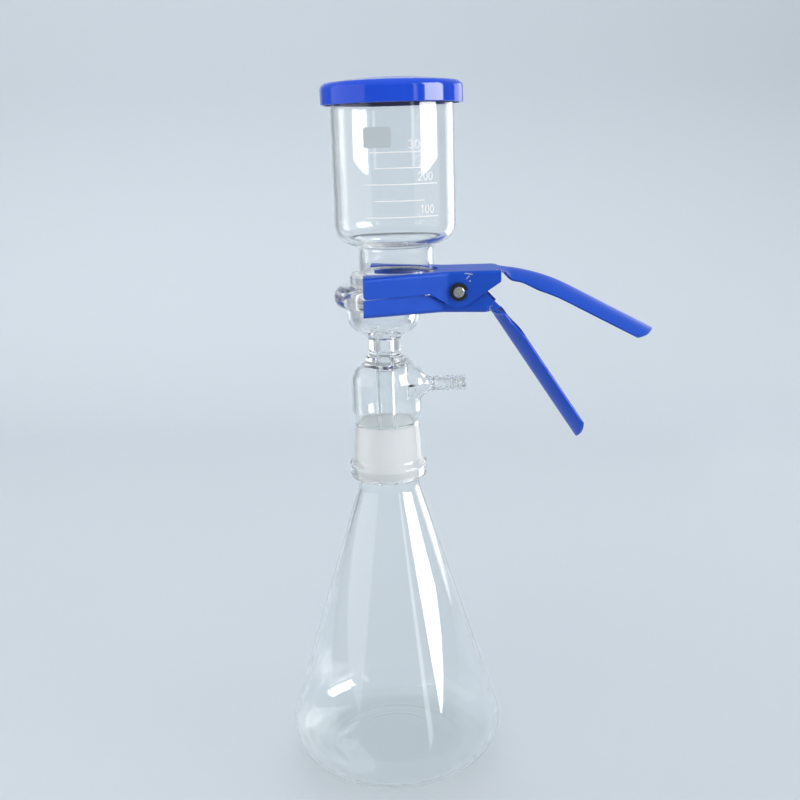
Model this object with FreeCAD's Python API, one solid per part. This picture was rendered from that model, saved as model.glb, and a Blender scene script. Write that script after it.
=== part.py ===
"""Vacuum filtration unit: lid, funnel, fritted base with hose arm, flask and the spring clamp.

Frame: origin at the centre of the flask's foot on the table, +Z up, the clamp's handles and
the hose arm toward +X.  Millimetres.
"""
import FreeCAD, Part
import math
import os

V = FreeCAD.Vector

# ---------------------------------------------------------------- driving dimensions
# Ground joint, one in ten on the diameter, shared by flask and base
joint_wide_d = 40.0
joint_len = 35.0
joint_taper = 0.1
joint_gap = 0.05            # radial gap between the two ground cones

# Flask
flask_od = 139.0
flask_h = 229.0             # foot to rim
flask_wall = 2.3
flask_heel_r = 21.0
flask_neck_step = 0.6       # neck's radius inside the ground cone's wide end
flask_neck_drop = 8.0       # ground cone's wide end down to the top of the long cone
flask_neck_blend = 14.0
flask_push_up = 2.5
flask_foot_w = 4.5          # width of the flat ring it stands on

# Base: flange, bowl, stem, chamber with hose arm, socket
socket_drop = 2.0           # flask rim stands this far above the socket's ground zone
socket_wall = 2.2
socket_over = 1.5           # collar reaches this far past the joint's wide end
collar_lip = 4.7            # collar's radius past the joint's wide end
collar_h = 9.2
chamber_h = 39.8            # socket top to ring seal
chamber_od = 43.8
chamber_wall = 2.2
ring_r = 13.4
stem_od = 20.0
stem_len = 16.2             # ring seal to the foot of the bowl
bore_d = 8.4
drip_od = 12.0
drip_below_joint = 4.0      # tip below the joint's wide end
drip_cut_deg = 35.0
bowl_od = 45.2
bowl_h = 19.4
base_flange_od = 60.5
base_flange_t = 12.9
base_flange_round = 6.0
frit_d = 37.0
frit_t = 5.0
frit_ledge = 1.8
frit_gap = 0.05

# Hose arm
arm_z = 25.2                # above the socket top
arm_reach = 50.2
arm_root_x = 26.5
arm_wall = 1.9
barb_d = 9.7
barb_groove = 0.65
barb_pitch = 3.1
barb_count = 6
barb_tip_len = 3.0
arm_flare_deg = 46.0
arm_flare_blend = 8.0

# Funnel
funnel_shift = 8.6          # the funnel sits this far off the base's axis, toward the clamp
funnel_wall = 2.3
funnel_flange_od = 57.4
funnel_flange_t = 7.7
funnel_flange_round = 1.6
neck_od = 46.0
neck_h = 18.0
neck_root_r = 2.0
cup_od = 74.0
cup_h = 92.4                # shoulder to rim
cup_shoulder_r = 11.0

# Lid
lid_wall = 1.9
lid_stand_off = 5.4         # skirt's outside past the cup's, radially
lid_skirt_h = 11.0          # rim down to the skirt's edge
lid_crown = 3.0
lid_flat_r = 16.0           # the dome levels out inside this radius
lid_edge_r = 4.0
lid_ring_gap = 0.4          # radial, locating ring to the cup's inside
lid_ring_h = 8.0
lid_seat = 0.05

# Clamp
sheet = 1.5
grip_gap = 0.05             # sheet to glass flange, across its thickness
fork_gap = 0.3              # fork wall to the rim of the flange that comes nearest
fork_tip_x = -11.0
fork_slot_gap = 0.3         # slot edge past the funnel neck's root fillet
slot_back = 0.3             # slot's round end, behind the neck's centre
fork_bend_x = 39.5
body_half = 19.5            # half the width over the upper jaw's walls
nest_gap = 0.4              # lower jaw's ears inside the upper jaw's
plan_bend_r = 7.0
fold_r = 2.2                # outside radius of the folds
pivot_x = 45.5
pivot_above_seal = -2.8
pin_d = 6.6
pin_clear = 0.06            # radial
ear_r = 9.8
ear_slope_deg = 33.5
lower_ear_r = 7.4
lower_edge_deg = 44.2
lower_edge_off = 11.1       # pin's centre to the lower ears' sloping edge
parting_drop = 3.2          # seal face down to the line where the fork walls meet
parting_gap = 0.4
upper_wall_end = 71.2
lower_wall_end = 72.1
lower_tilt_deg = 1.7        # lower jaw's fall toward the handles
nest_x = 36.5               # the lower walls reach their nested width here
handle_half = 16.5
handle_arch = 8.0
arch_run = 9.0              # the arch is full this far from the plate
waist_half = 14.0
waist_len = 12.0
waist_blend = 16.0
relief_r = 1.8              # notch in the plate's end beside the waist
upper_reach = 104.5         # along the crest, from the end of the jaw
upper_bend_deg = 12.0
upper_bend_from = 1.0       # along the crest
upper_bend_len = 10.0
upper_grip_deg = 28.2
upper_grip_from = 14.0
upper_grip_len = 32.0
lower_reach = 100.8
lower_grip_deg = 57.0       # below level
lower_bend_len = 3.0
lower_tail = 7.7            # the lower ears run on past the plate's bend

# Pivot hardware
clip_t = 1.1
clip_r = 5.4
clip_gap = 0.25
clip_groove = 0.55
clip_play = 0.05
clip_mouth_deg = 5.0        # mouth below level, toward the handles
pin_proud = 1.5
wire_d = 1.8
spring_turns = 5
spring_pitch = 2.1
spring_gap = 0.5            # coil bore to pin
leg_up_deg = 14.0
leg_down_deg = 22.0
leg_gap = 0.1

# ---------------------------------------------------------------- levels and shared radii
z_joint = flask_h - joint_len
z_socket = flask_h - socket_drop
z_collar = z_joint - socket_over
z_ring = z_socket + chamber_h
z_bowl = z_ring + stem_len
z_under = z_bowl + bowl_h
z_seal = z_under + base_flange_t
z_flange = z_seal + funnel_flange_t
z_cup = z_flange + neck_h
z_rim = z_cup + cup_h
z_arm = z_socket + arm_z
z_pivot = z_seal + pivot_above_seal
z_parting = z_seal - parting_drop
z_top = z_flange + grip_gap + sheet
z_floor = z_under - grip_gap
flask_neck_r = joint_wide_d / 2 - flask_neck_step
collar_r = joint_wide_d / 2 + collar_lip
pin_r = pin_d / 2
slot_r = neck_od / 2 + neck_root_r + fork_slot_gap
slot_x = funnel_shift + slot_back
# the tilted lower plate meets the base flange's flat underside at bearing_x, at z_floor
flat_r = base_flange_od / 2 - base_flange_round
bearing_x = max(fork_tip_x, -math.sqrt(max(0.0, flat_r ** 2 - slot_r ** 2)))
nested_half = body_half - 2 * sheet - nest_gap   # inside the lower jaw's ears


def joint_r(z):
    """Radius of the male ground cone at height z."""
    return joint_wide_d / 2 - (z - z_joint) * joint_taper / 2


# ---------------------------------------------------------------- outlines
def rounded_edges(corners, closed=True, place=lambda a, b: V(a, 0, b)):
    """Edges through corners (a, b, radius): straight runs joined by tangent arcs.

    Arcs that would meet on a short run are made smaller until they fit it.
    """
    points = [(c[0], c[1]) for c in corners]
    radii = [c[2] if len(c) > 2 else 0.0 for c in corners]
    n = len(points)
    reach, unit = [0.0] * n, [None] * n
    for i in range(n):
        if radii[i] == 0 or (not closed and i in (0, n - 1)):
            continue
        p, c, q = points[i - 1], points[i], points[(i + 1) % n]
        u, v = direction(c, p), direction(c, q)
        half = math.acos(max(-1.0, min(1.0, u[0] * v[0] + u[1] * v[1]))) / 2
        reach[i] = radii[i] / math.tan(half)
        unit[i] = (u, v, half)
    for i in range(n if closed else n - 1):
        j = (i + 1) % n
        room = math.dist(points[i], points[j]) * 0.998
        if reach[i] + reach[j] > room:
            share = room / (reach[i] + reach[j])
            reach[i] *= share
            reach[j] *= share
    edges, last, first = [], None, None
    for i in range(n):
        c = points[i]
        if unit[i] is None or reach[i] < 1e-6:
            start = end = c
        else:
            u, v, half = unit[i]
            start = (c[0] + u[0] * reach[i], c[1] + u[1] * reach[i])
            end = (c[0] + v[0] * reach[i], c[1] + v[1] * reach[i])
        if last is not None and math.dist(last, start) > 1e-6:
            edges.append(Part.LineSegment(place(*last), place(*start)).toShape())
        if start != end:
            radius = reach[i] * math.tan(half)
            b = direction((0, 0), (u[0] + v[0], u[1] + v[1]))
            depth = radius / math.sin(half) - radius
            mid = (c[0] + b[0] * depth, c[1] + b[1] * depth)
            edges.append(Part.Arc(place(*start), place(*mid), place(*end)).toShape())
        first = start if first is None else first
        last = end
    if closed and math.dist(last, first) > 1e-6:
        edges.append(Part.LineSegment(place(*last), place(*first)).toShape())
    return edges


def direction(a, b):
    """Unit vector from a to b in the plane."""
    length = math.dist(a, b)
    return ((b[0] - a[0]) / length, (b[1] - a[1]) / length)


def face(corners, place=lambda a, b: V(a, 0, b)):
    return Part.Face(Part.Wire(rounded_edges(corners, True, place)))


def flat_face(corners, z):
    """Face in a level plane."""
    return face(corners, lambda a, b: V(a, b, z))


def inset(corners, wall):
    """The open path moved sideways by wall, to the right of its direction of travel."""
    points = [(c[0], c[1]) for c in corners]
    runs = []
    for a, b in zip(points, points[1:]):
        d = direction(a, b)
        runs.append((a[0] + d[1] * wall, a[1] - d[0] * wall, d[0], d[1]))
    moved = [(runs[0][0], runs[0][1], 0.0)]
    for i in range(1, len(runs)):
        x0, z0, dx0, dz0 = runs[i - 1]
        x1, z1, dx1, dz1 = runs[i]
        turn = dx0 * dz1 - dz0 * dx1
        t = ((x1 - x0) * dz1 - (z1 - z0) * dx1) / turn
        radius = corners[i][2] if len(corners[i]) > 2 else 0.0
        if radius:
            radius = max(radius + wall * math.copysign(1, turn), 0.3)
        moved.append((x0 + dx0 * t, z0 + dz0 * t, radius))
    end, run = points[-1], runs[-1]
    moved.append((end[0] + run[3] * wall, end[1] - run[2] * wall, 0.0))
    return moved


def with_radius(corner, radius):
    return (corner[0], corner[1], radius)


def spun(corners):
    """Solid of revolution about Z of an outline in the XZ plane."""
    return face(corners).revolve(V(0, 0, 0), V(0, 0, 1), 360)


def spun_about_x(corners, z):
    """Solid of revolution about the level X axis at height z; corners are (x, radius)."""
    section = face(corners, lambda a, b: V(a, 0, z + b))
    return section.revolve(V(0, 0, z), V(1, 0, 0), 360)


# ---------------------------------------------------------------- glass
def make_flask():
    """Conical flask with a ground cone for a neck, one blown wall."""
    heel = (flask_od / 2 - flask_heel_r, flask_heel_r)
    neck = (flask_neck_r, z_joint - flask_neck_drop)
    # the long cone leaves the neck and is tangent to the heel's circle
    reach = math.dist(neck, heel)
    slope = math.atan2(heel[0] - neck[0], neck[1] - heel[1]) + math.asin(flask_heel_r / reach)
    corner_x = neck[0] + neck[1] * math.tan(slope)
    foot_x = heel[0] - flask_foot_w
    outside = [
        (joint_r(flask_h), flask_h),
        (joint_r(z_joint), z_joint, 0.6),
        (flask_neck_r, z_joint - 1.6, 1.2),
        (neck[0], neck[1], flask_neck_blend),
        (corner_x, 0, flask_heel_r),
        (foot_x, 0, 6),
        (foot_x * 0.62, flask_push_up, 60),
        (0, flask_push_up),
    ]
    inside = inset(outside, flask_wall)
    lip = flask_wall * 0.42
    outside[0] = with_radius(outside[0], lip)
    inside[0] = with_radius(inside[0], lip)
    return spun(outside + inside[::-1])


def chamber_walls():
    """Outside of the chamber from the ring seal down to the waist above the socket."""
    r = chamber_od / 2
    return [
        (ring_r, z_ring),
        (r - 3.3, z_ring - 2.4, 8),
        (r, z_ring - 10.3, 14),
        (r, z_socket + 9, 12),
        (r - 1.4, z_socket + 2.5, 4),
        (r - 1.4, z_socket),
    ]


def chamber_void():
    """The hollow round the drip tube, as a solid."""
    wall = inset(chamber_walls(), chamber_wall)
    top = wall[1][1] + 1.4
    return spun([(0, top), (wall[1][0] - 3, top, 3)] + wall[1:-1] + [(0, z_socket)])


def make_filter_base():
    """Flange, bowl, stem, chamber, hose arm, drip tube and socket, fused into one glass."""
    stem_r, bore_r, drip_r, bowl_r = stem_od / 2, bore_d / 2, drip_od / 2, bowl_od / 2
    flange_r = base_flange_od / 2
    seat_r = frit_d / 2 + frit_gap
    hollow_r = seat_r - frit_ledge
    z_frit = z_seal - frit_t
    walls = chamber_walls()
    void = inset(walls, chamber_wall)
    tip_z = z_joint - drip_below_joint
    socket_top_r = joint_r(z_socket) + joint_gap
    socket_end_r = joint_r(z_collar) + joint_gap
    outline = [
        (seat_r, z_seal, 0.3),
        (flange_r, z_seal, base_flange_round),
        (flange_r, z_under, base_flange_round),
        (bowl_r, z_under, 1.2),
        (bowl_r, z_bowl + 7.5, 11),
        (stem_r, z_bowl, 4),
        (stem_r, z_ring + 5.6, 4),
        (ring_r, z_ring + 2.4, 1.8),
        (ring_r, z_ring, 0.6),
    ] + walls[1:5] + [
        (socket_top_r + socket_wall, z_socket, 3),
        (joint_r(z_collar + collar_h) + socket_wall + 0.2, z_collar + collar_h + 3, 4),
        (collar_r, z_collar + collar_h, 1.8),
        (collar_r, z_collar, 3),
        (socket_end_r + 0.9, z_collar, 0.9),
        (socket_end_r - 0.05, z_collar + 2),
        (socket_top_r, z_socket, 0.8),
    ] + void[-2:0:-1] + [
        (void[1][0] - 3, void[1][1] + 1.4, 3),
        (drip_r, void[1][1] + 1.4, 2),
        (drip_r, tip_z, 0.8),
        (bore_r, tip_z, 0.8),
        (bore_r, z_bowl + 2.5, 4),
        (hollow_r, z_bowl + 9.5, 8),
        (hollow_r, z_frit),
        (seat_r, z_frit),
    ]
    glass = spun(outline)
    # slanted drip tip
    drop = drip_od * math.tan(math.radians(drip_cut_deg))
    tip = face([(-drip_r - 1, tip_z - 1), (drip_r + 1, tip_z - 1), (drip_r + 1, tip_z + drop)])
    tip = tip.extrude(V(0, drip_od + 2, 0)).translated(V(0, -drip_r - 1, 0))
    glass = glass.cut(tip)
    arm, bore = hose_arm()
    glass = glass.fuse(arm.cut(chamber_void()))
    return glass.cut(bore).removeSplitter()


def hose_arm():
    """Barbed hose arm that flares into the chamber's shoulder, and its bore."""
    r = barb_d / 2
    flare = math.tan(math.radians(arm_flare_deg))
    root_x = chamber_od / 2 - 8.5
    root_r = r + (arm_root_x - root_x) * flare
    plain = [
        (root_x, root_r),
        (arm_root_x, r - barb_groove, arm_flare_blend),
        (arm_reach, r - barb_groove),
    ]
    ribs = []
    first = arm_reach - barb_tip_len - barb_count * barb_pitch
    for i in range(barb_count):
        x = first + i * barb_pitch
        ribs += [(x, r - barb_groove), (x + 0.5, r, 0.3), (x + barb_pitch - 0.3, r - barb_groove)]
    outside = plain[:2] + ribs + [
        (arm_reach - barb_tip_len + 0.4, r, 0.5),
        (arm_reach, r, 0.9),
    ]
    bore_r = r - barb_groove - arm_wall
    arm = spun_about_x([(root_x, 0)] + outside + [(arm_reach, 0)], z_arm)
    wide = inset(plain, arm_wall)
    bore = spun_about_x(
        [
            (wide[0][0] + 2.2, 0),
            (wide[0][0] + 2.2, wide[0][1] - 2.2 * flare),
            (wide[1][0], bore_r, arm_flare_blend),
            (arm_reach + 1, bore_r),
            (arm_reach + 1, 0),
        ],
        z_arm,
    )
    return arm, bore


def make_frit_disc():
    """Sintered disc that carries the membrane."""
    r = frit_d / 2
    z = z_seal - frit_t
    return spun([(0, z), (r, z, 0.3), (r, z_seal, 0.3), (0, z_seal)])


def make_funnel():
    """Graduated cup, neck and flange, one glass, set off the base's axis."""
    cup_r, neck_r, flange_r = cup_od / 2, neck_od / 2, funnel_flange_od / 2
    flow = [
        (cup_r, z_rim),
        (cup_r, z_cup, cup_shoulder_r),
        (neck_r, z_cup, 5),
        (neck_r, z_seal),
    ]
    inside = inset(flow, funnel_wall)
    outside = flow[:3] + [
        (neck_r, z_flange, neck_root_r),
        (flange_r, z_flange, funnel_flange_round),
        (flange_r, z_seal, funnel_flange_round / 2),
    ]
    lip = funnel_wall * 0.42
    outside[0] = with_radius(outside[0], lip)
    inside[0] = with_radius(inside[0], lip)
    return spun(outside + inside[::-1]).translated(V(funnel_shift, 0, 0))


def make_lid():
    """Moulded cap: domed top resting on the cup's rim, loose skirt, locating ring inside."""
    r = cup_od / 2 + lid_stand_off
    slope = lid_crown / (r - lid_flat_r)
    rim_mid = (cup_od - funnel_wall) / 2
    z_edge = z_rim + lid_seat + lid_wall * math.hypot(1, slope) - (r - rim_mid) * slope
    path = [
        (r, z_rim - lid_skirt_h),
        (r, z_edge, lid_edge_r),
        (lid_flat_r, z_edge + lid_crown, 160),
        (0, z_edge + lid_crown),
    ]
    # walked from the skirt up to the middle, the inside lies to the left
    inside = inset(path, -lid_wall)
    path[0] = with_radius(path[0], 0.5)
    inside[0] = with_radius(inside[0], 0.5)
    ring_r = cup_od / 2 - funnel_wall - lid_ring_gap
    ring = [
        (ring_r, z_edge),
        (ring_r, z_rim - lid_ring_h, 0.6),
        (ring_r - lid_wall, z_rim - lid_ring_h, 0.6),
        (ring_r - lid_wall, z_edge),
    ]
    lid = spun(path + inside[::-1]).fuse(spun(ring)).removeSplitter()
    return lid.translated(V(funnel_shift, 0, 0))


# ---------------------------------------------------------------- clamp
def wall_slope(bend_x, side_y, centre_x, flange_od):
    """Slope of a fork wall from (bend_x, side_y) tangent to a circle fork_gap off a flange."""
    run = bend_x - centre_x
    clear = flange_od / 2 + fork_gap
    return math.asin(clear / math.hypot(run, side_y)) - math.atan2(side_y, run)


def upper_tip():
    """Half-width inside the upper fork at its tip: its walls clear both flanges."""
    inner = body_half - sheet
    slope = max(
        wall_slope(fork_bend_x, inner, 0, base_flange_od),
        wall_slope(fork_bend_x, inner, funnel_shift, funnel_flange_od),
    )
    return inner + (fork_bend_x - fork_tip_x) * math.tan(slope)


def lower_tip():
    """Half-width inside the lower fork at its tip: level with the upper's, or wider."""
    slope = wall_slope(nest_x, nested_half, 0, base_flange_od)
    return max(upper_tip(), nested_half + (nest_x - fork_tip_x) * math.tan(slope))


def fork_plan(extra, x_tip, x_end, tip_y, bend_x, side_y):
    """Plan outline of a jaw, extra outside its walls' inner faces.

    The inner faces run from tip_y at the fork's tip to side_y at bend_x, and on level.
    """
    slope = math.atan2(tip_y - side_y, bend_x - fork_tip_x)
    grow = extra / math.cos(slope)
    # the offset walls meet a little off the bend
    corner_x = bend_x + (grow - extra) / math.tan(slope)
    start_y = tip_y + grow + (fork_tip_x - x_tip) * math.tan(slope)
    half = [(x_tip, start_y), (corner_x, side_y + extra, plan_bend_r), (x_end, side_y + extra)]
    return half + [(x, -y, *r) for x, y, *r in half[::-1]]


def upper_plan(extra, x_tip, x_end):
    return fork_plan(extra, x_tip, x_end, upper_tip(), fork_bend_x, body_half - sheet)


def lower_plan(extra, x_tip, x_end):
    """Like the upper's, drawn in to nest between the upper jaw's ears."""
    return fork_plan(extra, x_tip, x_end, lower_tip(), nest_x, nested_half)


def folded_box(plan, z_plate, z_edge, x_end):
    """Plate with two folded walls: the plan's outside less its inside."""
    up = 1 if z_plate > z_edge else -1
    outer = flat_face(plan(sheet, fork_tip_x, x_end), z_edge).extrude(V(0, 0, z_plate - z_edge))
    outer = fold_fillet(outer, z_plate, fold_r, x_end)
    floor = z_plate - up * sheet
    inner = flat_face(plan(0, fork_tip_x - 2, x_end + 2), z_edge - up)
    inner = inner.extrude(V(0, 0, floor - z_edge + up))
    inner = fold_fillet(inner, floor, fold_r - sheet, x_end + 2)
    return outer.cut(inner)


def fold_fillet(block, z, radius, x_end):
    """Rounds the block's long edges at height z, not those across its two ends."""
    edges = []
    for edge in block.Edges:
        box = edge.BoundBox
        level = abs(box.ZMin - z) < 1e-6 and abs(box.ZMax - z) < 1e-6
        if level and box.XLength > 1e-3:
            edges.append(edge)
    return block.makeFillet(radius, edges)


def slab(corners, half_width):
    """Outline in the XZ plane, made a block across Y."""
    return face(corners).extrude(V(0, 2 * half_width, 0)).translated(V(0, -half_width, 0))


def round_slot():
    """Slot for the neck: round at its back, open past the fork's tips."""
    low, high = z_under - 8, z_top + 2
    round_end = Part.makeCylinder(slot_r, high - low, V(slot_x, 0, low))
    run = slot_x - fork_tip_x + 3
    way = Part.makeBox(run, 2 * slot_r, high - low, V(slot_x - run, -slot_r, low))
    return round_end.fuse(way)


def relief_notches(plate_end, z):
    """Two round notches in the plate's end, where the waist meets it."""
    notches = []
    for side in (-1, 1):
        at = V(plate_end, side * (waist_half + relief_r * 0.6), z - 4)
        notches.append(Part.makeCylinder(relief_r, 8, at))
    return notches[0].fuse(notches[1])


def pin_hole(radius):
    span = 4 * body_half
    return Part.makeCylinder(radius, span, V(pivot_x, -span / 2, z_pivot), V(0, 1, 0))


def crest_point(start, bends, s):
    """Point and heading, in degrees down, after s along a path that starts level.

    Each bend (s0, s1, degrees) turns evenly between s0 and s1.
    """
    def heading(at):
        return sum(turn * min(max((at - a) / (b - a), 0), 1) for a, b, turn in bends)

    x, z = start
    steps = max(1, math.ceil(s / 0.5))
    for i in range(steps):
        fall = math.radians(heading((i + 0.5) * s / steps))
        x += math.cos(fall) * s / steps
        z -= math.sin(fall) * s / steps
    return x, z, heading(s)


def smooth_step(t):
    """0 up to t = 0, 1 from t = 1 on, with no kink at either."""
    t = min(max(t, 0), 1)
    return t * t * (3 - 2 * t)


def strip_point(start, bends, outward, s, y):
    """Point on the outside of the arched strip, s along its crest and y across it."""
    x, z, fall = crest_point(start, bends, s)
    drop = handle_arch * smooth_step(s / arch_run) * (y / handle_half) ** 2
    a = math.radians(fall)
    return V(x - outward * drop * math.sin(a), y, z - outward * drop * math.cos(a))


def arched_strip(start, bends, reach, outward):
    """Formed strip of sheet: flat at its root, arched beyond it, its edges square to the sheet.

    It widens from the waist to the grip. outward is 1 where the arch rises above the strip
    and -1 where it hangs below it.
    """
    rows, columns = math.ceil(reach / 3), 8
    outer, inner = [], []
    for i in range(rows + 1):
        s = reach * i / rows
        widen = smooth_step((s - waist_len) / waist_blend)
        half_width = waist_half + (handle_half - waist_half) * widen
        outer_row, inner_row = [], []
        for j in range(columns + 1):
            y = (2 * j / columns - 1) * half_width
            here = strip_point(start, bends, outward, s, y)
            along = strip_point(start, bends, outward, s + 0.01, y) - here
            across = strip_point(start, bends, outward, s, y + 0.01) - here
            normal = along.cross(across).normalize()
            if i == 0:
                normal = V(0, 0, 1)
            outer_row.append(here)
            inner_row.append(here - normal * outward * sheet)
        outer.append(outer_row)
        inner.append(inner_row)
    skins = []
    for grid in (outer, inner):
        surface = Part.BSplineSurface()
        surface.interpolate(grid)
        skins.append(surface.toShape())
    rims = []
    for edge in skins[0].Edges:
        twin = min(skins[1].Edges, key=lambda e: (e.CenterOfMass - edge.CenterOfMass).Length)
        rims.append(Part.makeRuledSurface(edge, twin))
    shell = Part.makeShell(skins + rims)
    shell.sewShape()
    return Part.makeSolid(shell)


def arched_handle(start, bends, reach, outward):
    """Arched strip with its free end cut to a round tongue."""
    strip = arched_strip(start, bends, reach, outward)
    if strip.Volume < 0:
        strip.reverse()
    x, z, fall = crest_point(start, bends, reach)
    side = handle_half + 0.5
    end = [
        (-reach * 1.3, -side),
        (-reach * 1.3, side),
        (0, side, side * 0.92),
        (0, -side, side * 0.92),
    ]
    tool = flat_face(end, -40).extrude(V(0, 0, 80))
    tool.rotate(V(0, 0, 0), V(0, 1, 0), fall)
    tool.translate(V(x, 0, z))
    return strip.common(tool)


def make_upper_jaw():
    """Upper lever: fork over the funnel's flange, ears on the pin, arched handle."""
    plate_end = upper_wall_end
    fall = math.tan(math.radians(ear_slope_deg))
    vertex_z = z_pivot - ear_r / math.cos(math.radians(ear_slope_deg))
    box = folded_box(upper_plan, z_top, vertex_z - 1, plate_end)
    keep = slab(
        [
            (fork_tip_x, z_top + 1),
            (fork_tip_x, z_parting, 2.2),
            (pivot_x - (z_parting - vertex_z) / fall, z_parting, 9),
            (pivot_x, vertex_z, ear_r),
            (plate_end, vertex_z + (plate_end - pivot_x) * fall, 1.5),
            (plate_end, z_top + 1),
        ],
        3 * body_half,
    )
    jaw = box.common(keep)
    bends = [
        (upper_bend_from, upper_bend_from + upper_bend_len, upper_bend_deg),
        (upper_grip_from, upper_grip_from + upper_grip_len, upper_grip_deg - upper_bend_deg),
    ]
    jaw = jaw.fuse(arched_handle((plate_end, z_top), bends, upper_reach, 1))
    jaw = jaw.cut(relief_notches(plate_end, z_top))
    return jaw.cut(round_slot()).cut(pin_hole(pin_r + pin_clear)).removeSplitter()


def before_tilt(x, z):
    """Where a point of the finished lower jaw is while the jaw is still made level."""
    tilt = math.radians(lower_tilt_deg)
    dx, dz = x - pivot_x, z - z_pivot
    turned_x = pivot_x + dx * math.cos(tilt) - dz * math.sin(tilt)
    return turned_x, z_pivot + dx * math.sin(tilt) + dz * math.cos(tilt)


def make_lower_jaw():
    """Lower lever: fork under the base's flange, nested ears, arched handle.

    It is made level and then turned about the pin, so that its plate bears on the flange.
    """
    fall = math.tan(math.radians(ear_slope_deg))
    vertex_z = z_pivot - ear_r / math.cos(math.radians(ear_slope_deg))
    edge = math.radians(lower_edge_deg)
    plate_end = lower_wall_end - lower_tail
    # fork's edge and the slope beside the upper jaw's ears
    meet = z_parting - parting_gap
    gap = 1.0 / math.cos(math.radians(ear_slope_deg))
    slope_x = pivot_x - (meet - vertex_z + gap) / fall
    ear_left = pivot_x - lower_ear_r
    dip_z = vertex_z - gap + lower_ear_r * fall
    # ears: round in front, cut off along a slope behind
    ear_top = z_pivot + lower_ear_r
    slope_top_x = pivot_x + (lower_edge_off - lower_ear_r * math.cos(edge)) / math.sin(edge)
    tail_z = ear_top - (lower_wall_end - slope_top_x) * math.tan(edge)
    z_inside = before_tilt(bearing_x, z_floor)[1]
    z_low = z_inside - sheet
    box = folded_box(lower_plan, z_low, ear_top + 1, lower_wall_end)
    keep = slab(
        [
            (fork_tip_x, z_low - 1),
            (fork_tip_x, before_tilt(fork_tip_x, meet)[1], 1.0),
            (*before_tilt(slope_x, meet), 9),
            (*before_tilt(ear_left, dip_z), 1.5),
            (ear_left, ear_top, lower_ear_r),
            (slope_top_x, ear_top, lower_ear_r),
            (lower_wall_end, tail_z, 0.6),
            (plate_end, z_inside),
            (plate_end, z_low - 1),
        ],
        3 * body_half,
    )
    jaw = box.common(keep)
    bends = [(0, lower_bend_len, lower_grip_deg - lower_tilt_deg)]
    jaw = jaw.fuse(arched_handle((plate_end, z_low), bends, lower_reach, -1))
    jaw = jaw.cut(relief_notches(plate_end, z_low))
    jaw = jaw.cut(round_slot()).cut(pin_hole(pin_r + pin_clear)).removeSplitter()
    jaw.rotate(V(pivot_x, 0, z_pivot), V(0, 1, 0), lower_tilt_deg)
    return jaw


def clip_y():
    """Inner face of the front retaining ring, measured from the middle plane."""
    return body_half + clip_gap


def make_pivot_pin():
    """Steel pin with a groove near each end."""
    half = clip_y() + clip_t + pin_proud
    pin = Part.makeCylinder(pin_r, 2 * half, V(pivot_x, -half, z_pivot), V(0, 1, 0))
    ends = [e for e in pin.Edges if e.Closed and e.BoundBox.YLength < 1e-6]
    pin = pin.makeChamfer(0.4, ends)
    for side in (-1, 1):
        y = side * (clip_y() + clip_t / 2) - clip_t / 2 - clip_play
        at = V(pivot_x, y, z_pivot)
        width = clip_t + 2 * clip_play
        groove = Part.makeCylinder(pin_r + 1, width, at, V(0, 1, 0))
        core = Part.makeCylinder(pin_r - clip_groove, width, at, V(0, 1, 0))
        pin = pin.cut(groove.cut(core))
    return pin


def make_clip(side):
    """Open retaining ring with three lobes that grip the pin's groove."""
    y = side * (clip_y() + clip_t / 2) - clip_t / 2
    axis = V(0, 1, 0)
    centre = V(pivot_x, y, z_pivot)
    grip_r = pin_r - clip_groove + clip_play
    recess_r = pin_r + 0.5
    ring = Part.makeCylinder(clip_r, clip_t, centre, axis)
    ring = ring.cut(Part.makeCylinder(recess_r, clip_t, centre, axis))
    for turn in (0, 120, 240):
        lobe = Part.makeBox(2.0, clip_t, clip_r - 0.5, V(pivot_x - 1.0, y, z_pivot))
        lobe.rotate(centre, axis, turn)
        ring = ring.fuse(lobe)
    ring = ring.cut(Part.makeCylinder(grip_r, clip_t, centre, axis))
    mouth = Part.makeBox(2.6, clip_t, clip_r + 1, V(pivot_x - 1.3, y, z_pivot))
    mouth.rotate(centre, axis, 180)
    ring = ring.cut(mouth)
    ring.rotate(centre, axis, clip_mouth_deg - 90)
    return ring.removeSplitter()


def make_torsion_spring():
    """Coil on the pin with one leg under the upper plate and one on the lower plate."""
    wire_r = wire_d / 2
    coil_r = pin_r + spring_gap + wire_r
    start_deg, end_deg = 90 + leg_up_deg, 270 - leg_down_deg + 360 * spring_turns
    sweep = end_deg - start_deg
    width = spring_pitch * sweep / 360
    helix = Part.makeHelix(spring_pitch, width, coil_r)
    # the helix rises along +Z from +X; lay it along -Y so that it turns the way of the legs
    helix.rotate(V(0, 0, 0), V(1, 0, 0), 90)
    helix.rotate(V(0, 0, 0), V(0, 1, 0), -start_deg)
    helix.translate(V(pivot_x, width / 2, z_pivot))
    edge = helix.Edges[0]
    low, high = edge.ParameterRange
    p0, p1 = edge.valueAt(low), edge.valueAt(high)
    d0, d1 = edge.tangentAt(low) * -1, edge.tangentAt(high)
    section = Part.Wire(Part.makeCircle(wire_r, p0, d0))
    coil = Part.Wire(edge).makePipeShell([section], True, True)
    # each leg runs on until its end is leg_gap from the plate
    rise = z_flange + grip_gap - leg_gap - wire_r * math.cos(math.radians(leg_up_deg)) - p0.z
    plate_fall = math.tan(math.radians(lower_tilt_deg))
    plate_z = z_floor - (p1.x - bearing_x) * plate_fall
    drop = p1.z - (plate_z + leg_gap + wire_r * math.cos(math.radians(leg_down_deg)))
    leg_up = Part.makeCylinder(wire_r, rise / d0.z, p0, d0)
    leg_down = Part.makeCylinder(wire_r, drop / -(d1.z + d1.x * plate_fall), p1, d1)
    return coil.fuse([leg_up, leg_down])


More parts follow.
